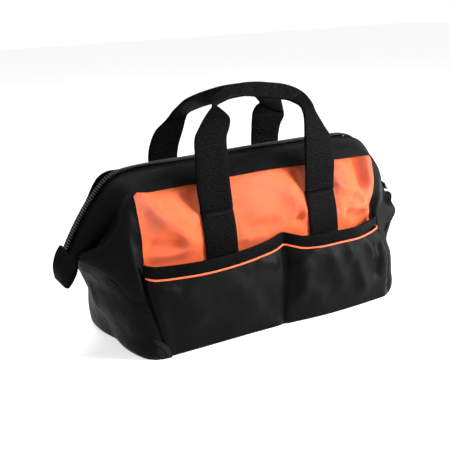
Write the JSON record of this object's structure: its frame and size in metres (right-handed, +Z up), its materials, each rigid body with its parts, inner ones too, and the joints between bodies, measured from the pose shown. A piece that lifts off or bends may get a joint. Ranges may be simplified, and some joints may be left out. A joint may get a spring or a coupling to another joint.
{
  "type": "tool bag",
  "caption": "Soft wide-mouth tool bag with a hinged steel frame that opens with the zip, outer pockets, webbing handles and corner feet.",
  "frame": {"origin": "middle of the base where it rests on the floor", "axes": "+X along the bag's length, front towards -Y, +Z up"},
  "size_m": [0.4375, 0.1592, 0.2521],
  "materials": {
    "black_cloth": "heavy black woven polyester, matt",
    "orange_cloth": "bright orange-red woven polyester with a soft sheen",
    "orange_piping": "corded piping in the panel's cloth",
    "black_binding": "ribbed black binding tape",
    "black_webbing": "ribbed black webbing",
    "handle_webbing": "ribbed black webbing, folded double and worn slightly grey",
    "black_thread": "bar tack of black thread",
    "zip_tape": "woven black zip tape",
    "zip_coil": "black nylon coil",
    "steel": "steel tube and rivets, black coated",
    "slider_metal": "bright nickel plated",
    "foot_rubber": "moulded black rubber with ribs",
    "stiffener_board": "plain black sheet"
  },
  "bodies": {
    "base": {"base_panel": "black_cloth", "base_board": "stiffener_board", "front_left_foot": "foot_rubber", "front_right_foot": "foot_rubber", "rear_left_foot": "foot_rubber", "rear_right_foot": "foot_rubber", "left_gusset": "black_cloth", "right_gusset": "black_cloth"},
    "front_wall": {"front_panel": "orange_cloth", "front_pocket": "black_cloth", "front_pocket_piping": "orange_piping", "front_pocket_binding": "black_binding", "front_left_strap": "black_webbing", "front_right_strap": "black_webbing", "front_left_bar_tack": "black_thread", "front_right_bar_tack": "black_thread", "front_top_band": "black_cloth"},
    "front_frame": {"front_frame_tube": "steel", "front_zip_tape": "zip_tape", "front_zip_coil": "zip_coil", "front_left_leg_sleeve": "black_cloth", "front_right_leg_sleeve": "black_cloth"},
    "front_handle": {"front_handle_left_leg": "black_webbing", "front_handle_right_leg": "black_webbing", "front_handle_grip": "handle_webbing"},
    "rear_wall": {"rear_panel": "orange_cloth", "rear_pocket": "black_cloth", "rear_pocket_piping": "orange_piping", "rear_pocket_binding": "black_binding", "rear_left_strap": "black_webbing", "rear_right_strap": "black_webbing", "rear_left_bar_tack": "black_thread", "rear_right_bar_tack": "black_thread", "rear_top_band": "black_cloth"},
    "rear_frame": {"rear_frame_tube": "steel", "rear_zip_tape": "zip_tape", "rear_zip_coil": "zip_coil", "rear_left_leg_sleeve": "black_cloth", "rear_right_leg_sleeve": "black_cloth"},
    "rear_handle": {"rear_handle_left_leg": "black_webbing", "rear_handle_right_leg": "black_webbing", "rear_handle_grip": "handle_webbing"},
    "hinge_ends": {"left_end_tab": "black_webbing", "right_end_tab": "black_webbing", "left_pivot_rivet": "steel", "right_pivot_rivet": "steel"},
    "zip_slider": {"zip_slider": "slider_metal"},
    "zip_pull": {"zip_pull": "slider_metal"}
  },
  "joints": [
    {"name": "front_wall", "type": "hinge", "parent": "base", "child": "front_wall", "pos_m": [0, -0.0705, 0.0027], "axis": [1, 0, 0], "range_deg": [0, 20]},
    {"name": "rear_wall", "type": "hinge", "parent": "base", "child": "rear_wall", "pos_m": [0, 0.0705, 0.0027], "axis": [-1, 0, 0], "range_deg": [0, 20]},
    {"name": "front_frame", "type": "hinge", "parent": "front_wall", "child": "front_frame", "pos_m": [0, -0.0075, 0.1715], "axis": [1, 0, 0], "range_deg": [0, 32]},
    {"name": "rear_frame", "type": "hinge", "parent": "rear_wall", "child": "rear_frame", "pos_m": [0, 0.0075, 0.1715], "axis": [-1, 0, 0], "range_deg": [0, 32]},
    {"name": "hinge_ends", "type": "slide", "parent": "base", "child": "hinge_ends", "axis": [0, 0, 1], "range_m": [0, 0.038], "deforming": ["left_gusset", "right_gusset"]},
    {"name": "front_handle", "type": "hinge", "parent": "front_wall", "child": "front_handle", "pos_m": [0, -0.05307, 0.1353], "axis": [1, 0, 0], "range_deg": [0, 120]},
    {"name": "rear_handle", "type": "hinge", "parent": "rear_wall", "child": "rear_handle", "pos_m": [0, 0.05307, 0.1353], "axis": [-1, 0, 0], "range_deg": [0, 120]},
    {"name": "zip_slider", "type": "slide", "parent": "front_frame", "child": "zip_slider", "axis": [-0.5647, 0, 0.8253], "range_m": [0, 0.05]},
    {"name": "zip_pull", "type": "hinge", "parent": "zip_slider", "child": "zip_pull", "pos_m": [0.20145, 0, 0.11813], "axis": [0, -1, 0], "range_deg": [0, 150]}
  ],
  "couplings": [
    {"joint": "rear_wall", "follows": "front_wall", "ratio": 1},
    {"joint": "front_frame", "follows": "front_wall", "ratio": 1.6},
    {"joint": "rear_frame", "follows": "front_wall", "ratio": 1.6},
    {"joint": "hinge_ends", "follows": "front_wall", "m_per_rad": 0.1088}
  ]
}
